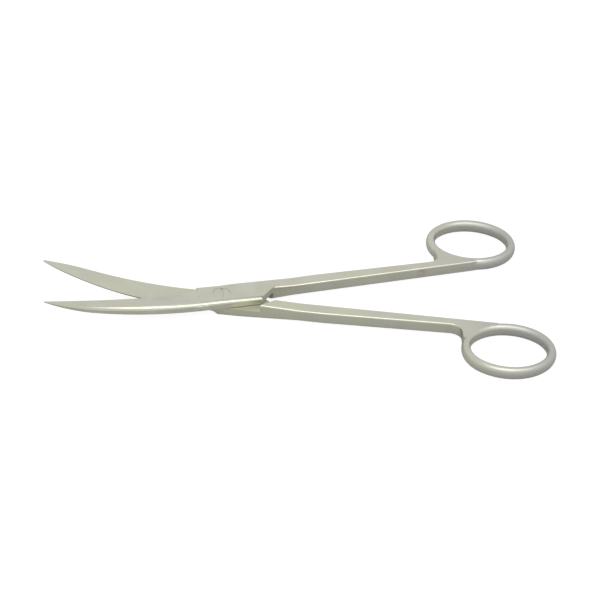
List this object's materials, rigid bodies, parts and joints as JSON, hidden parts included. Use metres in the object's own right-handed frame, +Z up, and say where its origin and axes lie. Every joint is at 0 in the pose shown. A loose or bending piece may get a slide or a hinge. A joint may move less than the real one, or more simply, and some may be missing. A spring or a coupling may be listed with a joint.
{
  "type": "curved dissecting scissors",
  "caption": "Curved dissecting scissors: crossed steel halves that turn on a slotted pivot screw, with upswept blades and oval finger rings.",
  "frame": {"origin": "on the pivot axis, at the flat underside of the joint that the scissors lie on", "axes": "+X from the pivot towards the finger rings along the middle of the opening, +Y towards the upper half's ring, +Z up, the way the blades curve"},
  "size_m": [0.1592, 0.0906, 0.0111],
  "materials": {
    "half_steel": "satin stainless steel, fine grain along each half",
    "screw_steel": "satin stainless steel, slotted head ground flush"
  },
  "bodies": {
    "lower": {"lower_half": "half_steel", "pivot_screw": "screw_steel"},
    "upper": {"upper_half": "half_steel"}
  },
  "joints": [
    {"name": "pivot", "type": "hinge", "parent": "lower", "child": "upper", "pos_m": [0, 0, 0], "axis": [0, 0, 1], "range_deg": [-22.5, 67.4]}
  ]
}
